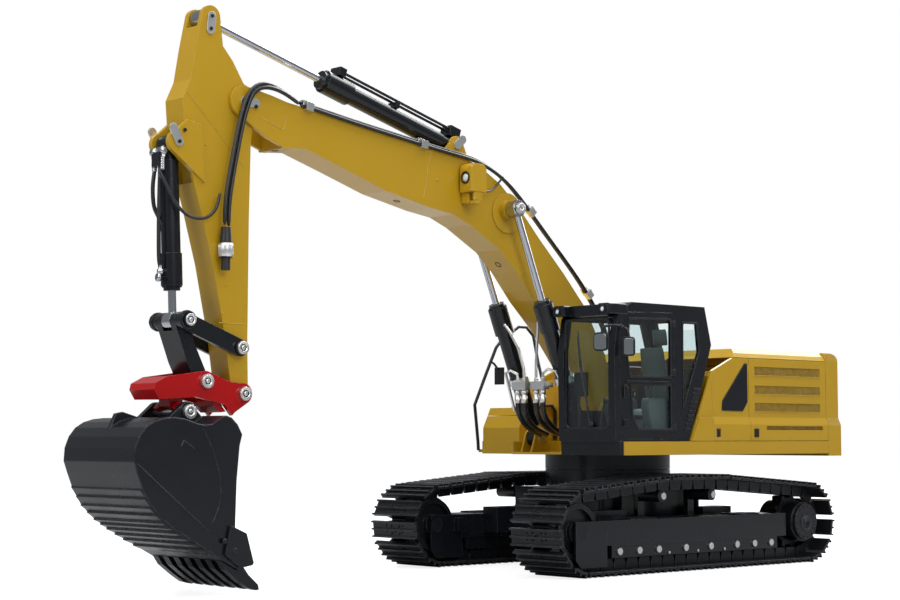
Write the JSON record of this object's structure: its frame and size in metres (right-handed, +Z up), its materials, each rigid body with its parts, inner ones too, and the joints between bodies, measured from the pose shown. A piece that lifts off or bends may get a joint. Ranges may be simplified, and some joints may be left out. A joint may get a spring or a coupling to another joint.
{
  "type": "radio-controlled excavator",
  "caption": "Scale crawler excavator with a slewing house, opening doors, a hydraulic boom, stick and quick-coupler bucket whose cylinders follow.",
  "frame": {"origin": "on the ground under the middle of the machine's overall length and width, 120 mm in front of the swing axis", "axes": "+X forward towards the bucket, +Y to the machine's left, the cab's side, +Z up"},
  "size_m": [0.683, 0.2026, 0.3801],
  "materials": {
    "yellow_paint": "semi-gloss golden yellow paint",
    "black_paint": "semi-gloss black paint",
    "track_metal": "black oxide, worn on the edges",
    "bright_steel": "turned and zinc-plated steel",
    "chromed_rod": "polished hard chrome",
    "ring_steel": "machined bearing steel",
    "hose_rubber": "smooth black rubber",
    "black_plastic": "matt black plastic",
    "seat_plastic": "grey-green moulded plastic",
    "clear_glass": "clear acrylic",
    "lamp_lens": "clear lamp lens",
    "red_paint": "gloss red paint",
    "battery_wrap": "blue shrink wrap",
    "board_green": "green solder mask"
  },
  "bodies": {
    "undercarriage": {"car_body": "black_paint", "track_frames": "black_paint", "track_shoes_left": "track_metal", "track_shoes_right": "track_metal", "track_chains": "track_metal", "track_rollers": "track_metal", "roller_bolts": "bright_steel", "slew_ring": "black_paint"},
    "idler_left": {"idler_left": "track_metal"},
    "idler_right": {"idler_right": "track_metal"},
    "sprocket_left": {"sprocket_left": "track_metal"},
    "sprocket_right": {"sprocket_right": "track_metal"},
    "house": {"platform": "yellow_paint", "base_pins": "bright_steel", "counterweight": "yellow_paint", "house_panels": "yellow_paint", "swing_motor": "ring_steel", "battery_pack": "battery_wrap", "control_board": "board_green", "pump_unit": "bright_steel", "exhaust_pipe": "black_paint", "storage_box": "yellow_paint", "handrails": "black_paint", "cab_frame": "black_paint", "cab_glass": "clear_glass", "cab_interior": "seat_plastic", "cab_lights": "lamp_lens", "cab_mirrors": "black_paint"},
    "swing_pinion": {"swing_pinion": "bright_steel"},
    "storage_lid": {"storage_lid": "yellow_paint"},
    "hood": {"hood": "yellow_paint"},
    "left_front_door": {"left_front_door": "yellow_paint"},
    "left_rear_door": {"left_rear_door": "yellow_paint", "left_grilles": "black_paint"},
    "right_door": {"right_door": "yellow_paint", "right_grilles": "black_paint"},
    "cab_door": {"cab_door": "black_paint", "cab_door_glass": "clear_glass"},
    "boom": {"boom": "yellow_paint", "boom_pins": "bright_steel", "boom_hoses": "hose_rubber", "hose_clamps": "bright_steel", "work_light": "yellow_paint"},
    "boom_rods": {"boom_rods": "chromed_rod"},
    "boom_barrels": {"boom_barrels": "black_paint", "manifolds": "bright_steel"},
    "stick": {"stick": "yellow_paint", "stick_pins": "bright_steel", "stick_hoses": "hose_rubber", "hose_connector": "black_plastic"},
    "arm_rod": {"arm_rod": "chromed_rod"},
    "arm_barrel": {"arm_barrel": "black_paint"},
    "bucket": {"quick_coupler": "red_paint", "coupler_pins": "bright_steel", "bucket": "black_paint", "bucket_teeth": "black_paint"},
    "idler_links": {"idler_links": "black_paint"},
    "h_link": {"h_link": "black_paint"},
    "bucket_rod": {"bucket_rod": "chromed_rod"},
    "bucket_barrel": {"bucket_barrel": "black_paint"}
  },
  "joints": [
    {"name": "swing", "type": "hinge", "parent": "undercarriage", "child": "house", "pos_m": [-0.12, 0, 0.0734], "axis": [0, 0, 1], "continuous": true},
    {"name": "swing_pinion_spin", "type": "hinge", "parent": "house", "child": "swing_pinion", "pos_m": [-0.15, 0, 0.068], "axis": [0, 0, 1], "continuous": true},
    {"name": "left_idler_spin", "type": "hinge", "parent": "undercarriage", "child": "idler_left", "pos_m": [0.006, 0.076, 0.0313], "axis": [0, 1, 0], "continuous": true},
    {"name": "left_sprocket_spin", "type": "hinge", "parent": "undercarriage", "child": "sprocket_left", "pos_m": [-0.246, 0.076, 0.0313], "axis": [0, 1, 0], "continuous": true},
    {"name": "right_idler_spin", "type": "hinge", "parent": "undercarriage", "child": "idler_right", "pos_m": [0.006, -0.076, 0.0313], "axis": [0, 1, 0], "continuous": true},
    {"name": "right_sprocket_spin", "type": "hinge", "parent": "undercarriage", "child": "sprocket_right", "pos_m": [-0.246, -0.076, 0.0313], "axis": [0, 1, 0], "continuous": true},
    {"name": "boom_lift", "type": "hinge", "parent": "house", "child": "boom", "pos_m": [-0.106, 0, 0.118], "axis": [0, -1, 0], "range_deg": [-28, 16]},
    {"name": "boom_rod_turn", "type": "hinge", "parent": "boom", "child": "boom_rods", "pos_m": [0.0045, 0, 0.2663], "axis": [0, -1, 0], "range_deg": [-0.176, 0.111]},
    {"name": "boom_cylinder_stroke", "type": "slide", "parent": "boom_rods", "child": "boom_barrels", "axis": [-0.3798, 0, -0.9251], "range_m": [-0.0223, 0.01289]},
    {"name": "stick_swing", "type": "hinge", "parent": "boom", "child": "stick", "pos_m": [0.2426, 0, 0.3188], "axis": [0, -1, 0], "range_deg": [-32, 15], "deforming": ["stick_hoses"]},
    {"name": "arm_rod_turn", "type": "hinge", "parent": "stick", "child": "arm_rod", "pos_m": [0.2675, 0, 0.3724], "axis": [0, -1, 0], "range_deg": [-13.01, 26.86]},
    {"name": "arm_cylinder_stroke", "type": "slide", "parent": "arm_rod", "child": "arm_barrel", "axis": [-0.9627, 0, -0.2705], "range_m": [-0.01064, 0.02233]},
    {"name": "bucket_curl", "type": "hinge", "parent": "stick", "child": "bucket", "pos_m": [0.242, 0, 0.1263], "axis": [0, -1, 0], "range_deg": [-70, 8]},
    {"name": "idler_link_turn", "type": "hinge", "parent": "stick", "child": "idler_links", "pos_m": [0.2446, 0, 0.1561], "axis": [0, -1, 0], "range_deg": [-51.29, 6.87]},
    {"name": "h_link_turn", "type": "hinge", "parent": "idler_links", "child": "h_link", "pos_m": [0.2882, 0, 0.1724], "axis": [0, -1, 0], "range_deg": [-4.92, 36.66]},
    {"name": "bucket_rod_turn", "type": "hinge", "parent": "idler_links", "child": "bucket_rod", "pos_m": [0.2882, 0, 0.1724], "axis": [0, -1, 0], "range_deg": [-6.95, 51.87]},
    {"name": "bucket_cylinder_stroke", "type": "slide", "parent": "bucket_rod", "child": "bucket_barrel", "axis": [0.041, 0, 0.9992], "range_m": [-0.00495, 0.0399]},
    {"name": "cab_door_hinge", "type": "hinge", "parent": "house", "child": "cab_door", "pos_m": [-0.0972, 0.0905, 0.14], "axis": [0, 0, 1], "range_deg": [0, 100]},
    {"name": "left_front_door_hinge", "type": "hinge", "parent": "house", "child": "left_front_door", "pos_m": [-0.1835, 0.0925, 0.13], "axis": [0, 0, 1], "range_deg": [0, 95]},
    {"name": "left_rear_door_hinge", "type": "hinge", "parent": "house", "child": "left_rear_door", "pos_m": [-0.2828, 0.0925, 0.13], "axis": [0, 0, 1], "range_deg": [0, 95]},
    {"name": "right_door_hinge", "type": "hinge", "parent": "house", "child": "right_door", "pos_m": [-0.2828, -0.0925, 0.13], "axis": [0, 0, 1], "range_deg": [-95, 0]},
    {"name": "hood_hinge", "type": "hinge", "parent": "house", "child": "hood", "pos_m": [-0.283, 0, 0.1675], "axis": [0, -1, 0], "range_deg": [0, 60]},
    {"name": "storage_lid_hinge", "type": "hinge", "parent": "house", "child": "storage_lid", "pos_m": [-0.1125, -0.07, 0.122], "axis": [0, -1, 0], "range_deg": [0, 75]}
  ],
  "couplings": [
    {"joint": "swing_pinion_spin", "follows": "swing", "ratio": -6},
    {"joint": "left_idler_spin", "follows": "left_sprocket_spin", "ratio": 1},
    {"joint": "right_idler_spin", "follows": "right_sprocket_spin", "ratio": 1},
    {"joint": "boom_rod_turn", "follows": "boom_lift", "ratio": 0.0054},
    {"joint": "boom_cylinder_stroke", "follows": "boom_lift", "m_per_rad": 0.04493},
    {"joint": "arm_rod_turn", "follows": "stick_swing", "ratio": -0.8149},
    {"joint": "arm_cylinder_stroke", "follows": "stick_swing", "m_per_rad": -0.0394},
    {"joint": "idler_link_turn", "follows": "bucket_curl", "ratio": 0.7164},
    {"joint": "h_link_turn", "follows": "bucket_curl", "ratio": -0.512},
    {"joint": "bucket_rod_turn", "follows": "bucket_curl", "ratio": -0.7246},
    {"joint": "bucket_cylinder_stroke", "follows": "bucket_curl", "m_per_rad": -0.0323}
  ]
}
